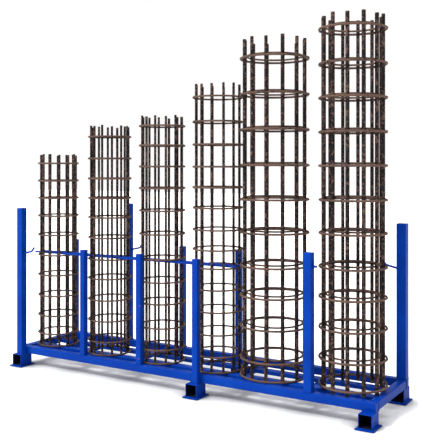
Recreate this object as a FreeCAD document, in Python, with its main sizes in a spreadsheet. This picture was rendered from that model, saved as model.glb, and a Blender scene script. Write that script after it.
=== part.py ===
# Welded steel storage rack with six round reinforcement cages standing on end in it.
# X runs along the rack, Y from the loading side (-Y) to the back, Z is up.
# The origin is the centre of the footprint, on the floor.
import FreeCAD, Part
import math
import os
import re

# Sizes in millimetres and degrees.
SIZES = {
    # base frame
    "rack_depth": 600,
    "rail_width": 50,
    "rail_height": 50,
    "rail_wall": 3,
    "cross_member_width": 40,
    "cross_member_height": 25,
    "cross_member_wall": 2.5,
    "bearer_width": 60,
    "bearer_wall": 2.5,
    "bearer_front_setback": 140,
    "bearer_rear_setback": 330,
    # feet
    "foot_width": 80,
    "foot_height": 80,
    "foot_wall": 4,
    "foot_length": 110,
    "foot_front_reach": 60,
    "foot_rear_reach": 15,
    "plate_margin": 15,
    "plate_thickness": 8,
    "left_foot_overhang": 15,
    "middle_foot_shift": 13,
    # posts
    "post_width": 40,
    "corner_post_width": 50,
    "rear_corner_post_width": 60,
    "post_wall": 3,
    "post_cap": 3,
    "short_post_height": 724,
    "right_front_post_height": 804,
    "left_front_post_height": 1000,
    "rear_tall_post_height": 1020,
    "right_rear_post_height": 952,
    "post_2_offset": 90,
    "post_3_offset": 58,
    "post_4_offset": 24,
    "post_5_offset": 193.5,
    "rear_post_shift": 30,
    # hooks on the tall posts
    "hook_bar": 14,
    "hook_height": 675,
    "hook_run": 68,
    "hook_slope": 13,
    "hook_bend": 22,
    "hook_tip": 28,
    "hook_tip_slope": 50,
    "peg_length": 25,
    "peg_height": 725,
    # rods threaded through the smaller cages
    "rod_diameter": 14,
    "rod_front_setback": 135,
    "rod_rear_setback": 197,
    "rod_left_reach": 15,
    "rod_right_reach": 6,
    "rod_seat_level": 657,
    "seat_gap": 0.3,
    # cages
    "weld_gap": 0.3,
    "bar_stagger": 5,
    "end_gap_left": 39,
    "gap_1": 189,
    "gap_2": 137,
    "gap_3": 108,
    "gap_4": 3,
    "gap_5": 105,
    "end_gap_right": 14,
}

# Each cage: outer radius, height of its bars, bar and hoop diameters, distance of its front
# from the face of the front rail, and turn of its first bar.
CAGE_WORDS = ("radius", "height", "bar", "hoop", "setback", "turn")
CAGES = {
    1: (147, 1385, 18, 12, 55, 15),
    2: (152, 1581, 18, 12, 40, 15),
    3: (157, 1636, 18, 12, 38, 15),
    4: (165, 1829, 18, 12, 40, 15),
    5: (219, 2094, 24, 14, 30, 11),
    6: (202.5, 2183, 24, 14, 18, 11),
}
# Heights of each cage's hoops above the frame; the hoops that carry the rods share one height.
# Below them lies one hoop at the bars' feet, or on the tallest cage a pair.
ROD_SEAT = "rod_seat_level"
HOOP_LEVELS = {
    1: (91, 221, 364, 513, ROD_SEAT, 803, 941, 1070, 1196, 1322),
    2: (93, 235, 378, 524, ROD_SEAT, 806, 946, 1080, 1216, 1356, 1507),
    3: (94, 236, 394, 536, 686, 851, 1006, 1156, 1300, 1440, 1571),
    4: (102, 240, 381, 521, ROD_SEAT, 771, 897, 1036, 1167, 1299, 1441, 1587, 1745),
    5: (115, 313, 501, 686, 892, 1097, 1309, 1529, 1749, 1974),
    6: (185, 361, 539, 715, 912, 1106, 1306, 1503, 1703, 1902, 2107),
}
DOUBLE_HOOPED = (5, 6)
BARS_IN_CAGE = 12
ROD_CAGES = (1, 2, 3, 4)
ROD_SEAT_CAGE = 2
LOW_PAIR_CAGE = 6

for number, values in CAGES.items():
    for word, value in zip(CAGE_WORDS, values):
        SIZES[f"cage_{number}_{word}"] = value
    for index, level in enumerate(HOOP_LEVELS[number], start=1):
        if level != ROD_SEAT:
            SIZES[f"cage_{number}_level_{index}"] = level
SIZES["inner_hoop"] = 12
SIZES["inner_hoop_lift"] = 14
SIZES["low_pair_base"] = 17
SIZES["low_pair_lift"] = 23

doc = FreeCAD.newDocument("rebar_cage_rack")
sheet = doc.addObject("Spreadsheet::Sheet", "Sizes")
for row, (alias, value) in enumerate(SIZES.items(), start=1):
    sheet.set(f"A{row}", alias)
    sheet.set(f"B{row}", str(value))
    sheet.setAlias(f"B{row}", alias)
doc.recompute()

subparts = []


def bind(item, prop, formula):
    """Bind a property to a formula whose names are the sheet's aliases."""
    linked = re.sub(r"[a-z]\w*", lambda m: "Sizes." + m.group(0) if m.group(0) in SIZES else m.group(0), formula)
    item.setExpression(prop, linked)


def place(item, x, y, z):
    for axis, formula in zip("xyz", (x, y, z)):
        bind(item, f"Placement.Base.{axis}", formula)


def keep(item, label):
    item.Label = label
    subparts.append(item)
    return item


def box(name, size, corner):
    item = doc.addObject("Part::Box", name)
    for prop, formula in zip(("Length", "Width", "Height"), size):
        bind(item, prop, formula)
    place(item, *corner)
    return item


def cylinder(name, diameter, length, base, rotation=None):
    item = doc.addObject("Part::Cylinder", name)
    if rotation:
        item.Placement = FreeCAD.Placement(FreeCAD.Vector(), rotation)
    bind(item, "Radius", f"({diameter}) / 2")
    bind(item, "Height", length)
    place(item, *base)
    return item


def hoop(name, radius, diameter, centre):
    item = doc.addObject("Part::Torus", name)
    bind(item, "Radius1", radius)
    bind(item, "Radius2", f"({diameter}) / 2")
    place(item, *centre)
    return item


def group(label, members):
    item = doc.addObject("Part::Compound", label)
    item.Links = members
    return keep(item, label)


def hollow(label, size, corner, wall, open_ends):
    """A rectangular tube; its bore runs along the named axis and stays inside a closed end."""
    outer = box(label + "_outer", size, corner)
    axis, near_end, far_end = open_ends
    bore_size = []
    bore_corner = []
    for index, (length, start) in enumerate(zip(size, corner)):
        if index == axis:
            near = "-" + near_end if near_end.startswith("1") else "+" + near_end
            far = "+" + far_end if far_end.startswith("1") else "-" + far_end
            bore_corner.append(f"({start}) {near}")
            bore_size.append(f"({length}) {'+' if near[0] == '-' else '-'} {near_end} {far[0]} {far_end}")
        else:
            bore_corner.append(f"({start}) + {wall}")
            bore_size.append(f"({length}) - 2 * {wall}")
    bore = box(label + "_bore", bore_size, bore_corner)
    item = doc.addObject("Part::Cut", label)
    item.Base = outer
    item.Tool = bore
    return keep(item, label)


# Lines that several pieces share.
cage_numbers = list(CAGES)
row_parts = ["end_gap_left"]
for number in cage_numbers:
    row_parts.append(f"2 * cage_{number}_radius")
    row_parts.append(f"gap_{number}" if number < cage_numbers[-1] else "end_gap_right")
RACK_LENGTH = "(" + " + ".join(row_parts) + ")"
LEFT_END = f"(left_foot_overhang / 2 - {RACK_LENGTH} / 2)"
RIGHT_END = f"(left_foot_overhang / 2 + {RACK_LENGTH} / 2)"
FRONT_FACE = "(foot_front_reach / 2 - foot_rear_reach / 2 - rack_depth / 2)"
BACK_FACE = "(foot_front_reach / 2 - foot_rear_reach / 2 + rack_depth / 2)"
FOOT_BOTTOM = "plate_thickness"
FOOT_TOP = "(plate_thickness + foot_height)"
FRAME_TOP = "(plate_thickness + foot_height + rail_height)"


def cage_x(number):
    terms = row_parts[: 2 * number - 1]
    return f"({LEFT_END} + {' + '.join(terms)} + cage_{number}_radius)"


def cage_y(number):
    return f"({FRONT_FACE} + cage_{number}_setback + cage_{number}_radius)"


def gap_middle(number):
    return f"({cage_x(number)} + cage_{number}_radius + gap_{number} / 2)"


# --- base frame ------------------------------------------------------------------------------
CLOSED = "rail_wall"
for label, y in (("front_rail", FRONT_FACE), ("rear_rail", f"{BACK_FACE} - rail_width")):
    hollow(label, (RACK_LENGTH, "rail_width", "rail_height"), (LEFT_END, y, FOOT_TOP),
           "rail_wall", (0, CLOSED, CLOSED))

END_RAIL_LENGTH = "(rack_depth - 2 * rail_width)"
for label, x in (("left_end_rail", LEFT_END), ("right_end_rail", f"{RIGHT_END} - rail_width")):
    hollow(label, ("rail_width", END_RAIL_LENGTH, "rail_height"),
           (x, f"{FRONT_FACE} + rail_width", FOOT_TOP), "rail_wall", (1, "10", "10"))

for number in (1, 2, 4, 5):
    hollow(f"cross_member_{number}",
           ("cross_member_width", END_RAIL_LENGTH, "cross_member_height"),
           (f"{gap_middle(number)} - cross_member_width / 2", f"{FRONT_FACE} + rail_width", FOOT_TOP),
           "cross_member_wall", (1, "10", "10"))

for label, setback in (("front_bearer", "bearer_front_setback"), ("rear_bearer", "bearer_rear_setback")):
    hollow(label,
           (f"{RACK_LENGTH} - 2 * rail_width", "bearer_width", "rail_height - cross_member_height"),
           (f"{LEFT_END} + rail_width", f"{FRONT_FACE} + {setback} - bearer_width / 2",
            f"{FOOT_TOP} + cross_member_height"),
           "bearer_wall", (0, "10", "10"))

# --- feet ------------------------------------------------------------------------------------
POST_4_X = f"({cage_x(4)} - post_4_offset)"
FOOT_MIDDLES = {
    "left": f"({LEFT_END} - left_foot_overhang + foot_width / 2)",
    "middle": f"({POST_4_X} - middle_foot_shift)",
    "right": f"({RIGHT_END} - foot_width / 2)",
}
FOOT_STARTS = {
    "front": f"({FRONT_FACE} - foot_front_reach)",
    "rear": f"({BACK_FACE} + foot_rear_reach - foot_length)",
}
for side, middle in FOOT_MIDDLES.items():
    for end, start in FOOT_STARTS.items():
        hollow(f"{side}_{end}_foot", ("foot_width", "foot_length", "foot_height"),
               (f"{middle} - foot_width / 2", start, FOOT_BOTTOM), "foot_wall", (1, "10", "foot_wall"))
        plate = f"{side}_{end}_base_plate"
        keep(box(plate, ("foot_width + 2 * plate_margin", "foot_length + 2 * plate_margin", "plate_thickness"),
                 (f"{middle} - foot_width / 2 - plate_margin", f"{start} - plate_margin", "0")), plate)


# --- posts -----------------------------------------------------------------------------------
def post(label, width, height, x, y, foot=FRAME_TOP):
    """A square post, capped at its top; x and y are its lowest corner."""
    hollow(label, (width, width, f"{FRAME_TOP} + {height} - {foot}"), (x, y, foot),
           "post_wall", (2, "10", "post_cap"))


post("left_front_post", "corner_post_width", "left_front_post_height",
     f"{LEFT_END} - left_foot_overhang + foot_width - corner_post_width",
     f"{FRONT_FACE} - corner_post_width", FOOT_TOP)
FRONT_POSTS = {2: "post_width", 3: "post_width", 5: "corner_post_width"}
FRONT_POST_HEIGHTS = {2: "short_post_height", 3: "short_post_height", 5: "right_front_post_height"}
for number, width in FRONT_POSTS.items():
    post(f"front_post_{number}", width, FRONT_POST_HEIGHTS[number],
         f"{cage_x(number if number < 5 else 6)} - post_{number}_offset - {width} / 2", FRONT_FACE)
post("front_post_4", "post_width", "short_post_height", f"{POST_4_X} - post_width / 2",
     f"{FRONT_FACE} - post_width", FOOT_TOP)

REAR_ROW = f"{BACK_FACE} - post_width"
post("rear_post_1", "post_width", "short_post_height", LEFT_END, REAR_ROW)
REAR_POST_HEIGHTS = {2: "rear_tall_post_height", 3: "short_post_height", 4: "short_post_height"}
for number, height in REAR_POST_HEIGHTS.items():
    post(f"rear_post_{number}", "post_width", height,
         f"{cage_x(number)} - post_{number}_offset - rear_post_shift - post_width / 2", REAR_ROW)
post("right_rear_post", "rear_corner_post_width", "right_rear_post_height",
     f"{RIGHT_END} - rear_corner_post_width", f"{BACK_FACE} - rear_corner_post_width")


# --- hooks -----------------------------------------------------------------------------------
def hook(label, x, y, way=1):
    """A bar welded to a post's side, rising along its run and bent up at its free end."""
    radius = sheet.get("hook_bend")
    slope = math.radians(sheet.get("hook_slope"))
    tip_slope = math.radians(sheet.get("hook_tip_slope"))

    def move(point, angle, length):
        return point + FreeCAD.Vector(way * length * math.cos(angle), 0, length * math.sin(angle))

    start = FreeCAD.Vector(0, 0, 0)
    bend_start = move(start, slope, sheet.get("hook_run"))
    centre = move(bend_start, slope + math.pi / 2, radius)
    bend_middle = move(centre, (slope + tip_slope) / 2 - math.pi / 2, radius)
    bend_end = move(centre, tip_slope - math.pi / 2, radius)
    tip = move(bend_end, tip_slope, sheet.get("hook_tip"))
    path = Part.Wire([Part.LineSegment(start, bend_start).toShape(),
                      Part.Arc(bend_start, bend_middle, bend_end).toShape(),
                      Part.LineSegment(bend_end, tip).toShape()])
    circle = Part.Circle(FreeCAD.Vector(0, 0, 0), FreeCAD.Vector(1, 0, 0), sheet.get("hook_bar") / 2)
    item = doc.addObject("Part::Feature", label)
    item.Shape = path.makePipeShell([Part.Wire([circle.toShape()])], True, True)
    place(item, x, y, f"{FRAME_TOP} + hook_height")
    return keep(item, label)


hook("left_front_hook",
     f"{LEFT_END} - left_foot_overhang + foot_width", f"{FRONT_FACE} - corner_post_width / 2")
hook("rear_hook",
     f"{cage_x(2)} - post_2_offset - rear_post_shift + post_width / 2", f"{BACK_FACE} - post_width / 2")


hook("right_rear_hook",
     f"{RIGHT_END} - rear_corner_post_width", f"{BACK_FACE} - rear_corner_post_width / 2", way=-1)
ALONG_X = FreeCAD.Rotation(FreeCAD.Vector(0, 1, 0), 90)
keep(cylinder("front_peg", "hook_bar", "peg_length",
              (f"{cage_x(6)} - post_5_offset + corner_post_width / 2",
               f"{FRONT_FACE} + corner_post_width / 2", f"{FRAME_TOP} + peg_height"), ALONG_X), "front_peg")


# --- cages -----------------------------------------------------------------------------------
def hoop_height(number, index):
    level = HOOP_LEVELS[number][index]
    return f"{FRAME_TOP} + {level if level == ROD_SEAT else f'cage_{number}_level_{index + 1}'}"


for number in cage_numbers:
    size = f"cage_{number}"
    centre = (cage_x(number), cage_y(number))
    bar_circle = f"({size}_radius - {size}_hoop - {size}_bar / 2 - weld_gap)"
    bars = []
    for index in range(BARS_IN_CAGE):
        turn = f"({size}_turn + {index * 360 / BARS_IN_CAGE})"
        uneven = round(math.sin(2.4 * index + number), 2)
        bars.append(cylinder(f"{size}_bar_{index + 1}", f"{size}_bar",
                             f"{size}_height + bar_stagger * ({uneven})",
                             (f"{centre[0]} + {bar_circle} * sin({turn})",
                              f"{centre[1]} - {bar_circle} * cos({turn})", FRAME_TOP)))
    group(f"{size}_bars", bars)

    hoop_radius = f"{size}_radius - {size}_hoop / 2"
    if number == LOW_PAIR_CAGE:
        heights = [f"{FRAME_TOP} + low_pair_base", f"{FRAME_TOP} + low_pair_base + low_pair_lift"]
    else:
        heights = [f"{FRAME_TOP} + {size}_hoop / 2 + seat_gap"]
    regular = [hoop_height(number, index) for index in range(len(HOOP_LEVELS[number]))]
    heights += regular
    group(f"{size}_hoops", [hoop(f"{size}_hoop_{index + 1}", hoop_radius, f"{size}_hoop", (*centre, height))
                            for index, height in enumerate(heights)])

    if number in DOUBLE_HOOPED:
        inner_radius = f"{bar_circle} - {size}_bar / 2 - weld_gap - inner_hoop / 2"
        group(f"{size}_inner_hoops",
              [hoop(f"{size}_inner_hoop_{index + 1}", inner_radius, "inner_hoop",
                    (*centre, height + " + inner_hoop_lift"))
               for index, height in enumerate(regular)])

# --- rods through the smaller cages ----------------------------------------------------------
ROD_HEIGHT = (f"{FRAME_TOP} + {ROD_SEAT} + cage_{ROD_SEAT_CAGE}_hoop / 2"
              " + seat_gap + rod_diameter / 2")
ROD_START = f"({cage_x(ROD_CAGES[0])} - cage_{ROD_CAGES[0]}_radius - rod_left_reach)"
ROD_END = f"({cage_x(ROD_CAGES[-1])} + cage_{ROD_CAGES[-1]}_radius + rod_right_reach)"
for label, setback in (("front_rod", "rod_front_setback"), ("rear_rod", "rod_rear_setback")):
    keep(cylinder(label, "rod_diameter", f"{ROD_END} - {ROD_START}",
                  (ROD_START, f"{FRONT_FACE} + {setback}", ROD_HEIGHT), ALONG_X), label)

doc.recompute()

# --- tests and export ------------------------------------------------------------------------
for item in doc.Objects:
    if {"Invalid", "Error"} & set(item.State):
        raise RuntimeError(f"{item.Label} did not recompute: {item.State}")
for item in subparts:
    if item.Shape.isNull() or not item.Shape.isValid():
        raise RuntimeError(f"{item.Label} has no valid shape")

os.makedirs("parts", exist_ok=True)
for item in subparts:
    item.Shape.exportStep(f"parts/{item.Label}.step")
    print(f"{item.Label}: {len(item.Shape.Solids)} solids, {item.Shape.Volume / 1e6:.3f} dm3")
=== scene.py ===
"""Looks of a painted steel storage rack with six rusty reinforcement cages standing in it."""

import math
import random

import bmesh
import bpy
import numpy as np
from mathutils import Matrix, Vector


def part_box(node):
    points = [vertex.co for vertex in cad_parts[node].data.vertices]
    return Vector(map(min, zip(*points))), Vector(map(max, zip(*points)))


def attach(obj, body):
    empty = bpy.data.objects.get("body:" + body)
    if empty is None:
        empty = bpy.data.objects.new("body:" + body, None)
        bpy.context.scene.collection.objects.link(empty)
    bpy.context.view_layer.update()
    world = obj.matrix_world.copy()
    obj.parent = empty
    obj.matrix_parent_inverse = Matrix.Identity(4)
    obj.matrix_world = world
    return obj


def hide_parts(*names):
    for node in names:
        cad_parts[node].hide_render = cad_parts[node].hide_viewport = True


bl_info = {
    "name": "Rebar cage rack",
    "version": (1, 0, 0),
    "blender": (4, 5, 0),
    "location": "View3D > Sidebar > Rebar rack",
    "description": "Builds the looks of a storage rack with reinforcement cages around its packed frame",
    "category": "Object",
}

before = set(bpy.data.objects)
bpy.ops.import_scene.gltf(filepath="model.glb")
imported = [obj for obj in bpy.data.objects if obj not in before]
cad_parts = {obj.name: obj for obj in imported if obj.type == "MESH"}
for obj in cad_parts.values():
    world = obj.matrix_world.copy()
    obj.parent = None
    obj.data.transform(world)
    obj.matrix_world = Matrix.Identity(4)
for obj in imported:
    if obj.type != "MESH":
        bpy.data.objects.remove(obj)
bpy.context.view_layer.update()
BODY = "root"
PAINT_SLOT = "painted_steel"
REBAR_SLOT = "rusty_rebar"
CAGES = (1, 2, 3, 4, 5, 6)
DOUBLE_HOOPED = (5, 6)
FINISHES = {}


# --- settings ------------------------------------------------------------------------------------
class RackSettings(bpy.types.PropertyGroup):
    corner: bpy.props.FloatProperty(
        name="Corner radius", description="Outer corner radius of the drawn tubes",
        default=0.004, unit="LENGTH")
    wall: bpy.props.FloatProperty(
        name="Wall", description="Wall of the tubes, seen at their open ends", default=0.004, unit="LENGTH")
    edge: bpy.props.FloatProperty(
        name="Edge", description="Rounding of sawn and flame-cut edges", default=0.0012, unit="LENGTH")
    bead: bpy.props.FloatProperty(
        name="Weld bead", description="Width of the fillet welds", default=0.0055, unit="LENGTH")
    paint: bpy.props.FloatVectorProperty(
        name="Paint", description="Colour of the rack's paint", subtype="COLOR", size=3,
        default=(0.0002, 0.037, 0.315))
    faded: bpy.props.FloatVectorProperty(
        name="Faded paint", description="Colour where the paint has chalked", subtype="COLOR", size=3,
        default=(0.0006, 0.050, 0.37))
    bare: bpy.props.FloatVectorProperty(
        name="Bare steel", description="Colour of scratches through the paint", subtype="COLOR", size=3,
        default=(0.16, 0.12, 0.10))


class RebarSettings(bpy.types.PropertyGroup):
    rib_height: bpy.props.FloatProperty(
        name="Rib height", description="Height of the cross ribs, as a share of the bar's diameter",
        default=0.065, subtype="FACTOR", min=0, max=0.2)
    rib_pitch: bpy.props.FloatProperty(
        name="Rib pitch", description="Distance between cross ribs, as a share of the bar's diameter",
        default=0.62, min=0.3, max=2)
    rib_lean: bpy.props.FloatProperty(
        name="Rib lean", description="Slope of the cross ribs on the bar", default=math.radians(28),
        subtype="ANGLE")
    tilt: bpy.props.FloatProperty(
        name="Hoop tilt", description="Largest tilt of a hoop from level", default=math.radians(0.15),
        subtype="ANGLE")
    wire: bpy.props.FloatProperty(
        name="Tie wire", description="Diameter of the tie wire", default=0.0016, unit="LENGTH")
    tail: bpy.props.FloatProperty(
        name="Tie tail", description="Length of a tie's twisted tail", default=0.012, unit="LENGTH")
    tied: bpy.props.FloatProperty(
        name="Tied crossings", description="Share of the crossings that have a tie", default=0.94,
        subtype="FACTOR", min=0, max=1)
    scale: bpy.props.FloatVectorProperty(
        name="Mill scale", description="Colour of the dark skin of hot-rolled bars", subtype="COLOR", size=3,
        default=(0.0040, 0.0030, 0.0036))
    rust: bpy.props.FloatVectorProperty(
        name="Rust", description="Colour of the brown rust", subtype="COLOR", size=3,
        default=(0.026, 0.0155, 0.0155))
    worn: bpy.props.FloatVectorProperty(
        name="Worn hoop", description="Lighter brown of the hoops", subtype="COLOR", size=3,
        default=(0.17, 0.105, 0.078))
    bloom: bpy.props.FloatVectorProperty(
        name="Rust bloom", description="Colour of the pale fresh rust", subtype="COLOR", size=3,
        default=(0.12, 0.07, 0.052))


class StageSettings(bpy.types.PropertyGroup):
    floor_size: bpy.props.FloatProperty(
        name="Floor", description="Width of the floor", default=60.0, unit="LENGTH")
    low_sky: bpy.props.FloatProperty(
        name="Low sky", description="Strength of the light from the horizon", default=0.22)
    high_sky: bpy.props.FloatProperty(
        name="High sky", description="Strength added straight overhead", default=1.25)
    left_sky: bpy.props.FloatProperty(
        name="Left sky", description="Strength added from the rack's left side", default=0.45)
    key: bpy.props.FloatProperty(name="Key", description="Strength of the main lamp", default=2.5)
    key_size: bpy.props.FloatProperty(
        name="Key size", description="Width of the main lamp as seen from the rack", default=math.radians(14),
        subtype="ANGLE")
    key_slope: bpy.props.FloatProperty(
        name="Key slope", description="Angle of the main lamp from overhead", default=math.radians(40),
        subtype="ANGLE")
    key_turn: bpy.props.FloatProperty(
        name="Key turn", description="Turn of the main lamp to the rack's left", default=math.radians(32),
        subtype="ANGLE")
    # reach of the floor's painted contact shadow: ambient occlusion under the steel darkens the floor's colour
    contact: bpy.props.FloatProperty(
        name="Contact shadow", description="Height up to which steel darkens the floor below it", default=0.15,
        unit="LENGTH")
    floor_lift: bpy.props.FloatProperty(
        name="Floor lift", description="Light added to the floor as the eye sees it", default=0.3)
    eye_left: bpy.props.FloatProperty(
        name="Eye across", description="Distance of the eye past the rack's right end", default=1.444,
        unit="LENGTH")
    eye_back: bpy.props.FloatProperty(
        name="Eye back", description="Distance of the eye in front of the front rail", default=4.112,
        unit="LENGTH")
    eye_height: bpy.props.FloatProperty(
        name="Eye height", description="Height of the eye over the floor", default=1.448, unit="LENGTH")
    eye_turn: bpy.props.FloatProperty(
        name="Eye turn", description="Turn of the view to the left", default=math.radians(31.27),
        subtype="ANGLE")
    lens: bpy.props.FloatProperty(name="Lens", description="Focal length for a 36 mm sensor", default=66.2)
    drop: bpy.props.FloatProperty(
        name="Lens drop", description="Share of the width by which the lens is shifted down", default=0.1348)


def settings(group):
    return getattr(bpy.context.scene, group)


# --- node tree helpers ---------------------------------------------------------------------------
class Tree:
    """A node tree under construction: inputs by name, nodes by type, links by socket."""

    def __init__(self, name, kind="GeometryNodeTree", outputs=()):
        self.tree = bpy.data.node_groups.new(name, kind)
        self.sockets = {}
        self.source = None
        self.outputs = outputs
        for socket, socket_type in outputs:
            self.tree.interface.new_socket(name=socket, in_out="OUTPUT", socket_type=socket_type)

    def inputs(self, *rows):
        for name, socket_type, *default in rows:
            socket = self.tree.interface.new_socket(name=name, in_out="INPUT", socket_type=socket_type)
            if default:
                socket.default_value = default[0]
            self.sockets[name] = socket.identifier
        self.source = self.tree.nodes.new("NodeGroupInput")
        return self.source.outputs

    def node(self, kind, values=None, **props):
        node = self.tree.nodes.new(kind)
        for name, value in props.items():
            setattr(node, name, value)
        for key, value in (values or {}).items():
            self.feed(value, node.inputs[key])
        return node

    def feed(self, value, socket):
        if isinstance(value, bpy.types.Node):
            value = value.outputs[0]
        if isinstance(value, bpy.types.NodeSocket):
            self.tree.links.new(value, socket)
        else:
            socket.default_value = value

    def math(self, operation, a, b=0.0, c=0.0):
        return self.node("ShaderNodeMath", {0: a, 1: b, 2: c}, operation=operation).outputs[0]

    def finish(self, **values):
        out = self.tree.nodes.new("NodeGroupOutput")
        for name, value in values.items():
            self.feed(value, out.inputs[name.replace("_", " ")])
        return self


def plain_mesh(tree, name, mesh, values):
    """Runs a geometry tree on a mesh and returns the result as an object with a plain mesh."""
    holder = bpy.data.objects.new(name + "_seed", mesh)
    bpy.context.scene.collection.objects.link(holder)
    modifier = holder.modifiers.new("Build", "NODES")
    modifier.node_group = tree.tree
    for key, value in values.items():
        modifier[tree.sockets[key]] = value
    bpy.context.view_layer.update()
    graph = bpy.context.evaluated_depsgraph_get()
    result = bpy.data.meshes.new_from_object(holder.evaluated_get(graph), depsgraph=graph)
    result.name = name
    holder.modifiers.clear()
    bpy.data.objects.remove(holder)
    return link(name, result)


def link(name, mesh):
    item = bpy.data.objects.new(name, mesh)
    bpy.context.scene.collection.objects.link(item)
    return item


def points_mesh(name, points, **attributes):
    """Loose points with one float attribute per keyword."""
    mesh = bpy.data.meshes.new(name)
    mesh.from_pydata(points, [], [])
    for key, values in attributes.items():
        layer = mesh.attributes.new(key, "FLOAT", "POINT")
        layer.data.foreach_set("value", values)
    return mesh


def attribute(tree, name):
    return tree.node("GeometryNodeInputNamedAttribute", {"Name": name}, data_type="FLOAT").outputs["Attribute"]


def declare(item, slot, *nodes):
    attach(item, BODY)
    if nodes:
        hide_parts(*nodes)
    return item


def smooth(item, angle=math.radians(40)):
    for polygon in item.data.polygons:
        polygon.use_smooth = True
    with bpy.context.temp_override(object=item, active_object=item, selected_objects=[item],
                                   selected_editable_objects=[item]):
        bpy.ops.object.shade_smooth_by_angle(angle=angle)


# --- materials -----------------------------------------------------------------------------------
def wear_group():
    """Broad stains, fine grain and sparse chips as masks that any of the finishes can use."""
    tree = Tree("Wear", "ShaderNodeTree", outputs=(
        ("Stain", "NodeSocketFloat"), ("Grain", "NodeSocketFloat"), ("Chips", "NodeSocketFloat")))
    source = tree.inputs(
        ("Stain Size", "NodeSocketFloat", 4.0), ("Grain Size", "NodeSocketFloat", 220.0),
        ("Chip Size", "NodeSocketFloat", 90.0), ("Chip Share", "NodeSocketFloat", 0.3))
    coordinates = tree.node("ShaderNodeTexCoord").outputs["Object"]
    stain = tree.node("ShaderNodeTexNoise", {
        "Vector": coordinates, "Scale": source["Stain Size"], "Detail": 5.0, "Roughness": 0.62})
    grain = tree.node("ShaderNodeTexNoise", {
        "Vector": coordinates, "Scale": source["Grain Size"], "Detail": 3.0, "Roughness": 0.7})
    chips = tree.node("ShaderNodeTexNoise", {
        "Vector": coordinates, "Scale": source["Chip Size"], "Detail": 4.0, "Roughness": 0.55})
    spread = tree.math("ADD", chips.outputs[0], tree.math("MULTIPLY", stain.outputs[0], 0.35))
    edge = tree.math("SUBTRACT", 1.0, source["Chip Share"])
    mask = tree.node("ShaderNodeMapRange", {
        "Value": spread, "From Min": edge, "From Max": tree.math("ADD", edge, 0.02)})
    return tree.finish(Stain=stain, Grain=grain, Chips=mask).tree


def add_group(nodes, group, values):
    node = nodes.new("ShaderNodeGroup")
    node.node_tree = group
    for key, value in values.items():
        node.inputs[key].default_value = value
    return node


def ramp(nodes, links, source, stops):
    node = nodes.new("ShaderNodeValToRGB")
    links.new(source, node.inputs["Fac"])
    elements = node.color_ramp.elements
    while len(elements) < len(stops):
        elements.new(0.5)
    for element, (position, color) in zip(elements, stops):
        element.position = position
        element.color = (*color, 1)
    return node.outputs["Color"]


def mix(nodes, links, factor, a, b):
    node = nodes.new("ShaderNodeMix")
    node.data_type = "RGBA"
    for key, value in (("Factor", factor), ("A", a), ("B", b)):
        socket = next(s for s in node.inputs if s.name == key and s.enabled)
        if isinstance(value, bpy.types.NodeSocket):
            links.new(value, socket)
        else:
            socket.default_value = value
    return next(s for s in node.outputs if s.enabled)


def new_material(name):
    material = bpy.data.materials.new(name)
    material.use_nodes = True
    return material, material.node_tree.nodes, material.node_tree.links


def remap(nodes, links, source, **ends):
    """Maps a value from one range to another; each end not named stays at 0 or 1."""
    node = nodes.new("ShaderNodeMapRange")
    links.new(source, node.inputs["Value"])
    for name, value in ends.items():
        node.inputs[name.replace("_", " ").title()].default_value = value
    return node.outputs["Result"]


def bump(nodes, links, height, strength, distance, shader):
    node = nodes.new("ShaderNodeBump")
    node.inputs["Strength"].default_value = strength
    node.inputs["Distance"].default_value = distance
    links.new(height, node.inputs["Height"])
    links.new(node.outputs["Normal"], shader.inputs["Normal"])


def paint_material(group):
    """Semi-gloss blue paint with chalky patches, chips to rusty steel and brush texture."""
    rack = settings("rack_settings")
    material, nodes, links = new_material("blue_paint")
    shader = nodes["Principled BSDF"]
    wear = add_group(nodes, group, {
        "Stain Size": 3.5, "Grain Size": 260.0, "Chip Size": 60.0, "Chip Share": 0.09})
    paint = ramp(nodes, links, wear.outputs["Stain"], (
        (0.34, tuple(0.86 * c for c in rack.paint)), (0.52, tuple(rack.paint)), (0.74, tuple(rack.faded))))
    rust = ramp(nodes, links, wear.outputs["Grain"], (
        (0.4, tuple(rack.bare)), (0.65, (0.24, 0.11, 0.05))))
    color = mix(nodes, links, wear.outputs["Chips"], paint, rust)
    links.new(color, shader.inputs["Base Color"])
    rough = remap(nodes, links, wear.outputs["Stain"], to_min=0.26, to_max=0.52)
    links.new(rough, shader.inputs["Roughness"])
    shader.inputs["Specular IOR Level"].default_value = 0.06
    bump(nodes, links, wear.outputs["Grain"], 0.18, 0.0006, shader)
    return material


def painted_shade_bore_material(group):
    """Painted shade inside a tube: a near-black blue on its inner walls and closed far end, standing in for
    the shade there.
    """
    material, nodes, links = new_material("tube_bore")
    shader = nodes["Principled BSDF"]
    wear = add_group(nodes, group, {
        "Stain Size": 9.0, "Grain Size": 200.0, "Chip Size": 60.0, "Chip Share": 0.1})
    color = ramp(nodes, links, wear.outputs["Stain"], (
        (0.35, (0.002, 0.003, 0.008)), (0.7, (0.004, 0.008, 0.03))))
    links.new(color, shader.inputs["Base Color"])
    shader.inputs["Roughness"].default_value = 0.8
    shader.inputs["Specular IOR Level"].default_value = 0.1
    bump(nodes, links, wear.outputs["Grain"], 0.2, 0.0005, shader)
    return material


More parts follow.
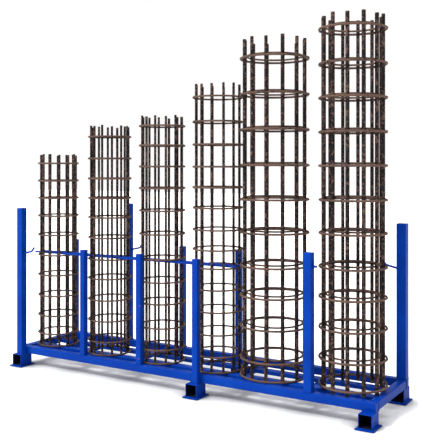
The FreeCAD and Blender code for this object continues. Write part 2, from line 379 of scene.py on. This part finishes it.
def rebar_material(name, group, tones, share):
    """Hot-rolled steel: dark mill scale, brown rust in patches and pale bloom on top."""
    material, nodes, links = new_material(name)
    shader = nodes["Principled BSDF"]
    dark, brown, pale = tones
    wear = add_group(nodes, group, {
        "Stain Size": 6.0, "Grain Size": 420.0, "Chip Size": 60.0, "Chip Share": share})
    patches = ramp(nodes, links, wear.outputs["Stain"], ((0.36, dark), (0.62, brown)))
    speckle = remap(nodes, links, wear.outputs["Grain"], from_min=0.5, from_max=0.75)
    speckled = mix(nodes, links, speckle, patches, (*brown, 1))
    color = mix(nodes, links, wear.outputs["Chips"], speckled, (*pale, 1))
    links.new(color, shader.inputs["Base Color"])
    rough = remap(nodes, links, wear.outputs["Stain"], to_min=0.5, to_max=0.85)
    links.new(rough, shader.inputs["Roughness"])
    shader.inputs["Specular IOR Level"].default_value = 0.16
    bump(nodes, links, wear.outputs["Grain"], 0.35, 0.0005, shader)
    return material


def make_finishes():
    rebar = settings("rebar_settings")
    group = wear_group()
    dark, brown, worn, pale = (tuple(getattr(rebar, key)) for key in ("scale", "rust", "worn", "bloom"))
    return {
        "paint": paint_material(group),
        "bore": painted_shade_bore_material(group),
        "bar": rebar_material("ribbed_bar_steel", group, (dark, brown, pale), 0.28),
        "hoop": rebar_material("hoop_steel", group, (brown, worn, pale), 0.36),
        "tie": rebar_material("tie_wire", group, (brown, pale, pale), 0.3),
    }


# --- tubes, plates and welds of the rack -----------------------------------------------------------
CORNER_STEPS = 5
# material slot of the painted shade inside open tubes
PAINTED_SHADE_SLOT = 1
SHARP = math.radians(50)


def rounded_outline(low, high, radius):
    """Corner points of a rectangle with rounded corners, counter-clockwise in its own plane."""
    points = []
    centres = ((high[0] - radius, high[1] - radius, 0), (low[0] + radius, high[1] - radius, 1),
               (low[0] + radius, low[1] + radius, 2), (high[0] - radius, low[1] + radius, 3))
    for x, y, quarter in centres:
        for step in range(CORNER_STEPS):
            angle = math.radians(90) * (quarter + step / (CORNER_STEPS - 1))
            points.append((x + radius * math.cos(angle), y + radius * math.sin(angle)))
    return points


def tube_mesh(name, low, high, axis, wall, radius, open_low):
    """A drawn rectangular tube between two corners, capped flat except where its low end is open."""
    across = [index for index in range(3) if index != axis]
    mesh = bmesh.new()

    def ring(outline, station):
        verts = []
        for u, v in outline:
            point = [0.0, 0.0, 0.0]
            point[axis] = station
            point[across[0]] = u
            point[across[1]] = v
            verts.append(mesh.verts.new(point))
        return verts

    def skin(first, second, slot=0):
        count = len(first)
        for index in range(count):
            following = (index + 1) % count
            face = mesh.faces.new((first[index], first[following], second[following], second[index]))
            face.material_index = slot

    flat_low = [low[index] for index in across]
    flat_high = [high[index] for index in across]
    outer = rounded_outline(flat_low, flat_high, radius)
    inner = rounded_outline([c + wall for c in flat_low], [c - wall for c in flat_high],
                            max(radius - wall, wall * 0.3))
    near = ring(outer, low[axis])
    far = ring(outer, high[axis])
    skin(near, far)
    if open_low:
        near_bore = ring(inner, low[axis])
        far_bore = ring(inner, high[axis] - wall)
        skin(near_bore, near)
        # painted shade: the inner walls and the cap that closes the far end take the dark slot, so the opening
        # looks shaded
        skin(far_bore, near_bore, PAINTED_SHADE_SLOT)
        mesh.faces.new(far_bore).material_index = PAINTED_SHADE_SLOT
    else:
        mesh.faces.new(near)
    mesh.faces.new(far)
    bmesh.ops.recalc_face_normals(mesh, faces=mesh.faces)
    data = bpy.data.meshes.new(name)
    mesh.to_mesh(data)
    mesh.free()
    return data


def soften(item, width):
    modifier = item.modifiers.new("Edges", "BEVEL")
    modifier.width = width
    modifier.segments = 2
    modifier.limit_method = "ANGLE"
    modifier.angle_limit = SHARP
    modifier.harden_normals = False


def steel_tube(node, axis, finish, opened=False):
    rack = settings("rack_settings")
    low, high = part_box(node)
    item = link(node + "_tube", tube_mesh(node, low, high, axis, rack.wall, rack.corner, opened))
    item.data.materials.append(finish)
    # an open tube's inner walls get the painted-shade material
    if opened:
        item.data.materials.append(FINISHES["bore"])
    smooth(item)
    soften(item, rack.edge)
    return declare(item, PAINT_SLOT, node)


def steel_plate(node, finish):
    rack = settings("rack_settings")
    low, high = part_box(node)
    mesh = bmesh.new()
    bmesh.ops.create_cube(mesh, size=1.0)
    centre = (low + high) / 2
    size = high - low
    fit = Matrix.Translation(centre) @ Matrix.Diagonal((*size, 1))
    bmesh.ops.transform(mesh, verts=mesh.verts, matrix=fit)
    data = bpy.data.meshes.new(node)
    mesh.to_mesh(data)
    mesh.free()
    item = link(node + "_cut", data)
    item.data.materials.append(finish)
    soften(item, rack.edge)
    return declare(item, PAINT_SLOT, node)


BEAD_STEP = 0.62
BEAD_SPREAD = (0.82, 1.12)


def bead_tree():
    """Overlapping scales along every edge of the input mesh, as a fillet weld has."""
    tree = Tree("Weld bead", outputs=(("Geometry", "NodeSocketGeometry"),))
    source = tree.inputs(
        ("Edges", "NodeSocketGeometry"), ("Width", "NodeSocketFloat", 0.005),
        ("Seed", "NodeSocketInt", 1), ("Finish", "NodeSocketMaterial"))
    width = source["Width"]
    curve = tree.node("GeometryNodeMeshToCurve", {"Mesh": source["Edges"]})
    points = tree.node("GeometryNodeCurveToPoints", {
        "Curve": curve, "Length": tree.math("MULTIPLY", width, BEAD_STEP)}, mode="LENGTH")
    scale = tree.node("GeometryNodeMeshUVSphere", {
        "Segments": 7, "Rings": 4, "Radius": tree.math("MULTIPLY", width, BEAD_STEP)})
    vary = tree.node("FunctionNodeRandomValue", {
        2: BEAD_SPREAD[0], 3: BEAD_SPREAD[1], "Seed": source["Seed"]}, data_type="FLOAT")
    placed = tree.node("GeometryNodeInstanceOnPoints", {
        "Points": points.outputs["Points"], "Instance": scale.outputs["Mesh"],
        "Rotation": points.outputs["Rotation"], "Scale": vary.outputs[1]})
    real = tree.node("GeometryNodeRealizeInstances", {0: placed})
    rounded = tree.node("GeometryNodeSetShadeSmooth", {0: real, "Shade Smooth": True})
    finished = tree.node("GeometryNodeSetMaterial", {0: rounded, "Material": source["Finish"]})
    return tree.finish(Geometry=finished)


def rectangle_edges(low, high, z):
    """Four edges round a rectangle at one height."""
    return [((low.x, low.y, z), (high.x, low.y, z)), ((high.x, low.y, z), (high.x, high.y, z)),
            ((high.x, high.y, z), (low.x, high.y, z)), ((low.x, high.y, z), (low.x, low.y, z))]


def edges_mesh(name, edges):
    mesh = bpy.data.meshes.new(name)
    mesh.from_pydata([point for edge in edges for point in edge],
                     [(2 * index, 2 * index + 1) for index in range(len(edges))], [])
    return mesh


POSTS = sorted(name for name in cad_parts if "_post" in name)
FEET = sorted(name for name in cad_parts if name.endswith("_foot"))
PLATES = sorted(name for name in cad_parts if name.endswith("_base_plate"))
ALONG_RACK = ("front_rail", "rear_rail", "front_bearer", "rear_bearer")
ACROSS_RACK = ("left_end_rail", "right_end_rail",
               *sorted(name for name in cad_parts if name.startswith("cross_member")))
ROUND_STEEL = ("left_front_hook", "rear_hook", "right_rear_hook", "front_peg", "front_rod", "rear_rod")


def weld_edges():
    """Where the rack's pieces meet: post feet, end rails, cross members, foot tops and base plates."""
    edges = []
    for post in POSTS:
        low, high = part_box(post)
        edges += rectangle_edges(low, high, low.z)
    rail_low, rail_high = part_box("front_rail")
    rear_low, rear_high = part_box("rear_rail")
    for member in ACROSS_RACK:
        low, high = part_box(member)
        for y in (low.y, high.y):
            for x in (low.x, high.x):
                edges.append(((x, y, low.z), (x, y, high.z)))
            edges.append(((low.x, y, high.z), (high.x, y, high.z)))
    for foot in FEET:
        low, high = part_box(foot)
        for rail in (rail_low, rail_high, rear_low, rear_high):
            if low.y <= rail.y <= high.y:
                edges.append(((low.x, rail.y, high.z), (high.x, rail.y, high.z)))
        for x in (low.x, high.x):
            edges.append(((x, low.y, low.z), (x, high.y, low.z)))
    return edges


# --- bars, hoops and ties ----------------------------------------------------------------------------
def node_points(node):
    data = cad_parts[node].data
    points = np.zeros(len(data.vertices) * 3, np.float32)
    data.vertices.foreach_get("co", points)
    return points.reshape(-1, 3)


def clusters(values, gap):
    """Splits sorted values wherever neighbours are further apart than the gap."""
    order = np.argsort(values)
    cuts = np.where(np.diff(values[order]) > gap)[0] + 1
    return np.split(order, cuts)


BAR_GAP = math.radians(8)
BAR_CLEARANCE = math.radians(3)
HOOP_GAP = 0.009
LEVEL_GAP = 0.8


class Cage:
    """Where one cage's bars and hoops lie, read from the frame."""

    def __init__(self, number):
        self.name = f"cage_{number}"
        self.double = number in DOUBLE_HOOPED
        low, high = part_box(self.name + "_hoops")
        self.centre = (low + high) / 2
        self.radius = (high.x - low.x) / 2
        self.hoop = self.hoop_size(self.name + "_hoops")
        self.levels = self.hoop_levels(self.name + "_hoops")
        self.inner_levels = self.hoop_levels(self.name + "_inner_hoops") if self.double else []
        points = node_points(self.name + "_bars")
        angles = np.arctan2(points[:, 1] - self.centre.y, points[:, 0] - self.centre.x)
        cut = self.empty_angle(angles)
        turned = (angles - cut) % (2 * math.pi)
        self.bars = []
        self.bar = 0.0
        for members in clusters(turned, BAR_GAP):
            low, high = points[members].min(0), points[members].max(0)
            base = (low + high) / 2
            self.bars.append((float(base[0]), float(base[1]), float(low[2]), float(high[2])))
            self.bar = max(self.bar, float(np.ptp(points[members][:, 0])))

    def empty_angle(self, angles):
        """An angle at which no bar stands, so that the bars split cleanly."""
        ordered = np.sort(angles)
        return float(ordered[int(np.argmax(np.diff(ordered)))] + BAR_CLEARANCE)

    def hoop_levels(self, node):
        heights = node_points(node)[:, 2]
        rings = [heights[members] for members in clusters(heights, self.hoop * LEVEL_GAP)]
        return [float(ring.min() + ring.max()) / 2 for ring in rings]

    def hoop_size(self, node):
        heights = node_points(node)[:, 2]
        first = clusters(heights, HOOP_GAP)[0]
        return float(np.ptp(heights[first]))


RIB_STATIONS = 5
RIB_SWEEP = math.radians(68)
RIB_WIDTH = 0.38
RIB_ROOT = 0.985


def rib_mesh(core, height, pitch, lean):
    """One pair of crescent ribs on opposite sides of a bar, half a pitch apart."""
    verts = []
    faces = []
    half_width = RIB_WIDTH / 2 * pitch
    root = RIB_ROOT * core
    for side in (0, 1):
        stations = []
        for index in range(RIB_STATIONS + 2):
            share = 2 * index / (RIB_STATIONS + 1) - 1
            angle = share * RIB_SWEEP + side * math.pi
            rise = (1 - share * share) * height
            z = share * RIB_SWEEP * core * math.tan(lean) * 0.5 + side * pitch / 2
            spots = ((root, -half_width), (core + rise, 0.0), (root, half_width))
            if index in (0, RIB_STATIONS + 1):
                spots = ((root, 0.0),)
            stations.append([len(verts) + offset for offset in range(len(spots))])
            for radius, shift in spots:
                verts.append((radius * math.cos(angle), radius * math.sin(angle), z + shift))
        for near, far in zip(stations, stations[1:]):
            if len(near) == 1:
                faces += [(near[0], far[0], far[1]), (near[0], far[1], far[2])]
            elif len(far) == 1:
                faces += [(near[0], near[1], far[0]), (near[1], near[2], far[0])]
            else:
                for strip in (0, 1):
                    faces.append((near[strip], near[strip + 1], far[strip + 1], far[strip]))
    mesh = bpy.data.meshes.new("rib_pair")
    mesh.from_pydata(verts, [], faces)
    return mesh


def bar_tree():
    """A ribbed bar with two long ribs, copied to every input point and turned about its own axis."""
    tree = Tree("Ribbed bars", outputs=(("Geometry", "NodeSocketGeometry"),))
    source = tree.inputs(
        ("Feet", "NodeSocketGeometry"), ("Length", "NodeSocketFloat", 1.0), ("Core", "NodeSocketFloat", 0.01),
        ("Rib Height", "NodeSocketFloat", 0.001), ("Rib Pitch", "NodeSocketFloat", 0.01),
        ("Rib", "NodeSocketObject"), ("Finish", "NodeSocketMaterial"))
    length = source["Length"]
    up = tree.node("ShaderNodeCombineXYZ", {"Z": length})
    line = tree.node("GeometryNodeCurvePrimitiveLine", {"End": up})
    profile = tree.node("GeometryNodeCurvePrimitiveCircle", {"Resolution": 16, "Radius": source["Core"]})
    index = tree.node("GeometryNodeInputIndex")
    on_rib = tree.math("COMPARE", tree.math("MODULO", index, 8.0), 4.0, 0.1)
    lift = tree.math("ADD", 1.0, tree.math("DIVIDE", source["Rib Height"], source["Core"]))
    position = tree.node("GeometryNodeInputPosition")
    raised = tree.node("ShaderNodeVectorMath", {0: position, "Scale": lift}, operation="SCALE")
    seamed = tree.node("GeometryNodeSetPosition", {
        "Geometry": profile, "Selection": on_rib, "Position": raised.outputs[0]})
    core = tree.node("GeometryNodeCurveToMesh", {"Curve": line, "Profile Curve": seamed, "Fill Caps": True})
    start = tree.node("ShaderNodeCombineXYZ", {"Z": tree.math("MULTIPLY", source["Rib Pitch"], 0.6)})
    stop = tree.node("ShaderNodeCombineXYZ", {
        "Z": tree.math("SUBTRACT", length, tree.math("MULTIPLY", source["Rib Pitch"], 1.1))})
    rib_line = tree.node("GeometryNodeCurvePrimitiveLine", {"Start": start, "End": stop})
    spots = tree.node("GeometryNodeCurveToPoints", {
        "Curve": rib_line, "Length": source["Rib Pitch"]}, mode="LENGTH")
    rib = tree.node("GeometryNodeObjectInfo", {"Object": source["Rib"]})
    ribs = tree.node("GeometryNodeInstanceOnPoints", {
        "Points": spots.outputs["Points"], "Instance": rib.outputs["Geometry"]})
    joined = tree.node("GeometryNodeJoinGeometry")
    for part in (core, ribs):
        tree.tree.links.new(part.outputs[0], joined.inputs[0])
    one_bar = tree.node("GeometryNodeRealizeInstances", {0: joined})
    turn = tree.node("ShaderNodeCombineXYZ", {"Z": attribute(tree, "turn")})
    rotation = tree.node("FunctionNodeEulerToRotation", {0: turn})
    stretch = tree.node("ShaderNodeCombineXYZ", {"X": 1.0, "Y": 1.0, "Z": attribute(tree, "stretch")})
    bars = tree.node("GeometryNodeInstanceOnPoints", {
        "Points": source["Feet"], "Instance": one_bar, "Rotation": rotation, "Scale": stretch})
    real = tree.node("GeometryNodeRealizeInstances", {0: bars})
    finished = tree.node("GeometryNodeSetMaterial", {0: real, "Material": source["Finish"]})
    return tree.finish(Geometry=finished)


def hoop_tree():
    """A hoop closed by a butt weld, copied to every input point with its own turn and tilt."""
    tree = Tree("Welded hoops", outputs=(("Geometry", "NodeSocketGeometry"),))
    source = tree.inputs(
        ("Centres", "NodeSocketGeometry"), ("Radius", "NodeSocketFloat", 0.15),
        ("Thickness", "NodeSocketFloat", 0.012), ("Finish", "NodeSocketMaterial"))
    thickness = source["Thickness"]
    ring = tree.node("GeometryNodeCurvePrimitiveCircle", {"Resolution": 72, "Radius": source["Radius"]})
    profile = tree.node("GeometryNodeCurvePrimitiveCircle", {
        "Resolution": 8, "Radius": tree.math("MULTIPLY", thickness, 0.5)})
    hoop = tree.node("GeometryNodeCurveToMesh", {"Curve": ring, "Profile Curve": profile})
    bulge = tree.node("GeometryNodeMeshUVSphere", {
        "Segments": 10, "Rings": 6, "Radius": tree.math("MULTIPLY", thickness, 0.6)})
    seat = tree.node("ShaderNodeCombineXYZ", {
        "X": tree.math("SUBTRACT", source["Radius"], tree.math("MULTIPLY", thickness, 0.1))})
    joint = tree.node("GeometryNodeTransform", {"Geometry": bulge, "Translation": seat})
    joined = tree.node("GeometryNodeJoinGeometry")
    for part in (hoop, joint):
        tree.tree.links.new(part.outputs[0], joined.inputs[0])
    smoothed = tree.node("GeometryNodeSetShadeSmooth", {0: joined, "Shade Smooth": True})
    lean = tree.node("ShaderNodeCombineXYZ", {
        "X": attribute(tree, "tilt_x"), "Y": attribute(tree, "tilt_y"), "Z": attribute(tree, "turn")})
    rotation = tree.node("FunctionNodeEulerToRotation", {0: lean})
    placed = tree.node("GeometryNodeInstanceOnPoints", {
        "Points": source["Centres"], "Instance": smoothed, "Rotation": rotation})
    real = tree.node("GeometryNodeRealizeInstances", {0: placed})
    finished = tree.node("GeometryNodeSetMaterial", {0: real, "Material": source["Finish"]})
    return tree.finish(Geometry=finished)


def tie_tree():
    """A loop of tie wire round each crossing, with its twisted tail turned into the cage."""
    tree = Tree("Wire ties", outputs=(("Geometry", "NodeSocketGeometry"),))
    source = tree.inputs(
        ("Crossings", "NodeSocketGeometry"), ("Reach", "NodeSocketFloat", 0.02),
        ("Spread", "NodeSocketFloat", 0.012), ("Wire", "NodeSocketFloat", 0.0016),
        ("Tail", "NodeSocketFloat", 0.02), ("Finish", "NodeSocketMaterial"))
    loop = tree.node("GeometryNodeCurvePrimitiveCircle", {"Resolution": 12, "Radius": 1.0})
    oval = tree.node("ShaderNodeCombineXYZ", {"X": source["Reach"], "Y": source["Spread"], "Z": 1.0})
    shaped = tree.node("GeometryNodeTransform", {"Geometry": loop, "Scale": oval})
    tilted = tree.node("GeometryNodeTransform", {"Geometry": shaped, "Rotation": (math.radians(42), 0, 0)})
    inward = tree.math("MULTIPLY", source["Reach"], -0.9)
    tail_start = tree.node("ShaderNodeCombineXYZ", {"X": inward})
    tail_end = tree.node("ShaderNodeCombineXYZ", {
        "X": tree.math("SUBTRACT", inward, source["Tail"]),
        "Y": tree.math("MULTIPLY", source["Tail"], 0.35), "Z": tree.math("MULTIPLY", source["Tail"], -0.7)})
    tail = tree.node("GeometryNodeCurvePrimitiveLine", {"Start": tail_start, "End": tail_end})
    joined = tree.node("GeometryNodeJoinGeometry")
    for part in (tilted, tail):
        tree.tree.links.new(part.outputs[0], joined.inputs[0])
    profile = tree.node("GeometryNodeCurvePrimitiveCircle", {
        "Resolution": 4, "Radius": tree.math("MULTIPLY", source["Wire"], 0.75)})
    wire = tree.node("GeometryNodeCurveToMesh", {"Curve": joined, "Profile Curve": profile, "Fill Caps": True})
    lean = tree.node("ShaderNodeCombineXYZ", {"X": attribute(tree, "roll"), "Z": attribute(tree, "turn")})
    rotation = tree.node("FunctionNodeEulerToRotation", {0: lean})
    placed = tree.node("GeometryNodeInstanceOnPoints", {
        "Points": source["Crossings"], "Instance": wire, "Rotation": rotation})
    real = tree.node("GeometryNodeRealizeInstances", {0: placed})
    finished = tree.node("GeometryNodeSetMaterial", {0: real, "Material": source["Finish"]})
    return tree.finish(Geometry=finished)


def build_bars(cage, tree, finish, rng):
    rebar = settings("rebar_settings")
    rib_height = rebar.rib_height * cage.bar
    core = cage.bar / 2 - rib_height
    pitch = rebar.rib_pitch * cage.bar
    rib = link("rib_pair", rib_mesh(core, rib_height, pitch, rebar.rib_lean))
    length = sum(top - foot for _, _, foot, top in cage.bars) / len(cage.bars)
    feet = points_mesh(cage.name, [bar[:3] for bar in cage.bars],
                       turn=[rng.uniform(0, 2 * math.pi) for _ in cage.bars],
                       stretch=[(top - foot) / length for _, _, foot, top in cage.bars])
    item = plain_mesh(tree, cage.name + "_ribbed_bars", feet, {
        "Length": length, "Core": core, "Rib Height": rib_height, "Rib Pitch": pitch, "Rib": rib,
        "Finish": finish})
    bpy.data.objects.remove(rib)
    smooth(item, SHARP)
    return declare(item, REBAR_SLOT, cage.name + "_bars")


def build_hoops(cage, tree, finish, rng, inner=False):
    rebar = settings("rebar_settings")
    node = cage.name + ("_inner_hoops" if inner else "_hoops")
    low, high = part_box(node)
    levels = cage.inner_levels if inner else cage.levels
    thickness = cage.hoop_size(node)
    tilts = [[rng.uniform(-rebar.tilt, rebar.tilt) for _ in levels] for _ in range(2)]
    for row in tilts:
        row[0] = row[-1] = 0.0
    centres = points_mesh(node, [(cage.centre.x, cage.centre.y, level) for level in levels],
                          turn=[rng.uniform(0, 2 * math.pi) for _ in levels], tilt_x=tilts[0], tilt_y=tilts[1])
    item = plain_mesh(tree, node + "_welded", centres, {
        "Radius": (high.x - low.x - thickness) / 2, "Thickness": thickness, "Finish": finish})
    return declare(item, REBAR_SLOT, node)


TIE_SPREAD = 0.62
TIE_ROLL = 0.2


def build_ties(cage, tree, finish, rng):
    rebar = settings("rebar_settings")
    middle = cage.radius - (cage.bar + cage.hoop) / 2
    spots = []
    turns = []
    rolls = []
    for level in cage.levels:
        for x, y, _, top in cage.bars:
            if rng.random() > rebar.tied or level > top:
                continue
            angle = math.atan2(y - cage.centre.y, x - cage.centre.x)
            spots.append((cage.centre.x + middle * math.cos(angle),
                          cage.centre.y + middle * math.sin(angle), level))
            turns.append(angle)
            rolls.append(rng.choice((0.0, math.pi / 2)) + rng.uniform(-TIE_ROLL, TIE_ROLL))
    crossings = points_mesh(cage.name + "_ties", spots, turn=turns, roll=rolls)
    item = plain_mesh(tree, cage.name + "_wire_ties", crossings, {
        "Reach": (cage.bar + cage.hoop + rebar.wire) / 2, "Spread": cage.bar * TIE_SPREAD,
        "Wire": rebar.wire, "Tail": rebar.tail, "Finish": finish})
    return declare(item, REBAR_SLOT)


# --- operators -----------------------------------------------------------------------------------
class RACK_OT_finishes(bpy.types.Operator):
    """Make the paint, the rusty steels and the tie wire"""
    bl_idname = "rebar_rack.finishes"
    bl_label = "Finishes"

    def execute(self, context):
        FINISHES.update(make_finishes())
        return {"FINISHED"}


class RACK_OT_tubes(bpy.types.Operator):
    """Build the rack's rails, bearers, cross members, feet, posts and base plates"""
    bl_idname = "rebar_rack.tubes"
    bl_label = "Tubes and plates"

    def execute(self, context):
        paint = FINISHES["paint"]
        for node in ALONG_RACK:
            steel_tube(node, 0, paint)
        for node in ACROSS_RACK:
            steel_tube(node, 1, paint)
        for node in POSTS:
            steel_tube(node, 2, paint)
        for foot in FEET:
            steel_tube(foot, 1, paint, opened=True)
        for plate in PLATES:
            steel_plate(plate, paint)
        return {"FINISHED"}


class RACK_OT_welds(bpy.types.Operator):
    """Run weld beads where the rack's pieces meet"""
    bl_idname = "rebar_rack.welds"
    bl_label = "Welds"

    def execute(self, context):
        beads = plain_mesh(bead_tree(), "rack_weld_beads", edges_mesh("welds", weld_edges()), {
            "Width": settings("rack_settings").bead, "Finish": FINISHES["paint"]})
        declare(beads, PAINT_SLOT)
        return {"FINISHED"}


class RACK_OT_round_steel(bpy.types.Operator):
    """Paint the hooks, the peg and the rods"""
    bl_idname = "rebar_rack.round_steel"
    bl_label = "Hooks and rods"

    def execute(self, context):
        for node in ROUND_STEEL:
            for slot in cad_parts[node].material_slots:
                slot.material = FINISHES["paint"]
        return {"FINISHED"}


class RACK_OT_cages(bpy.types.Operator):
    """Build every cage's ribbed bars, welded hoops and wire ties"""
    bl_idname = "rebar_rack.cages"
    bl_label = "Cages"

    def execute(self, context):
        bars = bar_tree()
        hoops = hoop_tree()
        ties = tie_tree()
        for number in CAGES:
            rng = random.Random(number)
            cage = Cage(number)
            build_bars(cage, bars, FINISHES["bar"], rng)
            build_hoops(cage, hoops, FINISHES["hoop"], rng)
            if cage.double:
                build_hoops(cage, hoops, FINISHES["hoop"], rng, inner=True)
            build_ties(cage, ties, FINISHES["tie"], rng)
        return {"FINISHED"}


class RACK_OT_stage(bpy.types.Operator):
    """Lay the white floor and set the light and the camera"""
    bl_idname = "rebar_rack.stage"
    bl_label = "Stage"

    def execute(self, context):
        stage = settings("stage_settings")
        build_floor(stage)
        build_lights(stage)
        build_camera(stage)
        return {"FINISHED"}


def build_floor(stage):
    """A white floor with a painted contact shadow: an AO node darkens its colour and its lift under the steel,
    and elsewhere it looks as bright as the sky.
    """
    half = stage.floor_size / 2
    mesh = bpy.data.meshes.new("floor")
    corners = [(-half, -half, 0), (half, -half, 0), (half, half, 0), (-half, half, 0)]
    mesh.from_pydata(corners, [], [(0, 1, 2, 3)])
    floor = link("floor", mesh)
    material, nodes, links = new_material("white_floor")
    shader = nodes["Principled BSDF"]
    shader.inputs["Roughness"].default_value = 1.0
    shader.inputs["Specular IOR Level"].default_value = 0.0
    # painted shadow: ambient occlusion under the steel darkens the floor's base colour and, through the same
    # mask, its camera-ray lift
    painted_shadow_ao = nodes.new("ShaderNodeAmbientOcclusion")
    painted_shadow_ao.samples = 8
    painted_shadow_ao.inputs["Distance"].default_value = stage.contact
    clear = remap(nodes, links, painted_shadow_ao.outputs["AO"], from_min=0.45, from_max=0.97)
    painted_shadow_tone = ramp(nodes, links, clear, ((0.0, (0.22, 0.22, 0.22)), (1.0, (0.93, 0.93, 0.93))))
    links.new(painted_shadow_tone, shader.inputs["Base Color"])
    path = nodes.new("ShaderNodeLightPath")
    seen = nodes.new("ShaderNodeMath")
    seen.operation = "MULTIPLY"
    links.new(path.outputs["Is Camera Ray"], seen.inputs[0])
    links.new(clear, seen.inputs[1])
    lift = nodes.new("ShaderNodeMath")
    lift.operation = "MULTIPLY"
    lift.inputs[1].default_value = stage.floor_lift
    links.new(seen.outputs[0], lift.inputs[0])
    shader.inputs["Emission Color"].default_value = (1, 1, 1, 1)
    links.new(lift.outputs[0], shader.inputs["Emission Strength"])
    floor.data.materials.append(material)


def build_lights(stage):
    """A sky that is brighter overhead and on the left, seen as plain white, and one soft sun."""
    world = bpy.data.worlds.new("even_light")
    world.use_nodes = True
    bpy.context.scene.world = world
    nodes = world.node_tree.nodes
    links = world.node_tree.links
    background = nodes["Background"]
    background.inputs["Color"].default_value = (1, 1, 1, 1)

    def value(operation, first, second):
        node = nodes.new("ShaderNodeMath")
        node.operation = operation
        for socket, given in zip(node.inputs, (first, second)):
            if isinstance(given, bpy.types.NodeSocket):
                links.new(given, socket)
            else:
                socket.default_value = given
        return node.outputs[0]

    direction = nodes.new("ShaderNodeSeparateXYZ")
    links.new(nodes.new("ShaderNodeTexCoord").outputs["Generated"], direction.inputs[0])
    overhead = value("MULTIPLY", value("MAXIMUM", direction.outputs["Z"], 0.0), stage.high_sky)
    leftward = value("MULTIPLY", direction.outputs["X"], -1.0)
    beside = value("MULTIPLY", value("MAXIMUM", leftward, 0.0), stage.left_sky)
    light = value("ADD", value("ADD", overhead, beside), stage.low_sky)
    path = nodes.new("ShaderNodeLightPath")
    seen = value("MAXIMUM", path.outputs["Is Camera Ray"], path.outputs["Is Transmission Ray"])
    strength = value("ADD", value("MULTIPLY", light, value("SUBTRACT", 1.0, seen)), seen)
    links.new(strength, background.inputs["Strength"])

    lamp = bpy.data.lights.new("key", "SUN")
    lamp.energy = stage.key
    lamp.angle = stage.key_size
    item = bpy.data.objects.new("key", lamp)
    item.rotation_euler = (stage.key_slope, 0, -stage.key_turn)
    bpy.context.scene.collection.objects.link(item)


SENSOR = 36


def build_camera(stage):
    """A level view with a lens shifted down, placed from the front rail."""
    low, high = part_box("front_rail")
    lens = bpy.data.cameras.new("eye")
    lens.sensor_fit = "HORIZONTAL"
    lens.sensor_width = SENSOR
    lens.lens = stage.lens
    lens.shift_y = -stage.drop
    eye = bpy.data.objects.new("eye", lens)
    eye.location = (high.x + stage.eye_left, low.y - stage.eye_back, stage.eye_height)
    eye.rotation_euler = (math.radians(90), 0, stage.eye_turn)
    bpy.context.scene.collection.objects.link(eye)
    bpy.context.scene.camera = eye
    bpy.context.scene.view_settings.view_transform = "Standard"


STEPS = (RACK_OT_finishes, RACK_OT_tubes, RACK_OT_welds, RACK_OT_round_steel, RACK_OT_cages, RACK_OT_stage)


class RACK_PT_panel(bpy.types.Panel):
    """Lists the steps that build the rack and its cages"""
    bl_label = "Rebar rack"
    bl_idname = "RACK_PT_panel"
    bl_space_type = "VIEW_3D"
    bl_region_type = "UI"
    bl_category = "Rebar rack"

    def draw(self, context):
        for step in STEPS:
            self.layout.operator(step.bl_idname)


CLASSES = (RackSettings, RebarSettings, StageSettings, *STEPS, RACK_PT_panel)
GROUPS = {"rack_settings": RackSettings, "rebar_settings": RebarSettings, "stage_settings": StageSettings}


def register():
    for cls in CLASSES:
        bpy.utils.register_class(cls)
    for name, group in GROUPS.items():
        setattr(bpy.types.Scene, name, bpy.props.PointerProperty(type=group))


def unregister():
    for name in GROUPS:
        delattr(bpy.types.Scene, name)
    for cls in reversed(CLASSES):
        bpy.utils.unregister_class(cls)


def main():
    register()
    for step in STEPS:
        group, name = step.bl_idname.split(".")
        result = getattr(getattr(bpy.ops, group), name)()
        if result != {"FINISHED"}:
            raise RuntimeError(f"{step.bl_idname} did not finish")


if __name__ == "__main__":
    main()
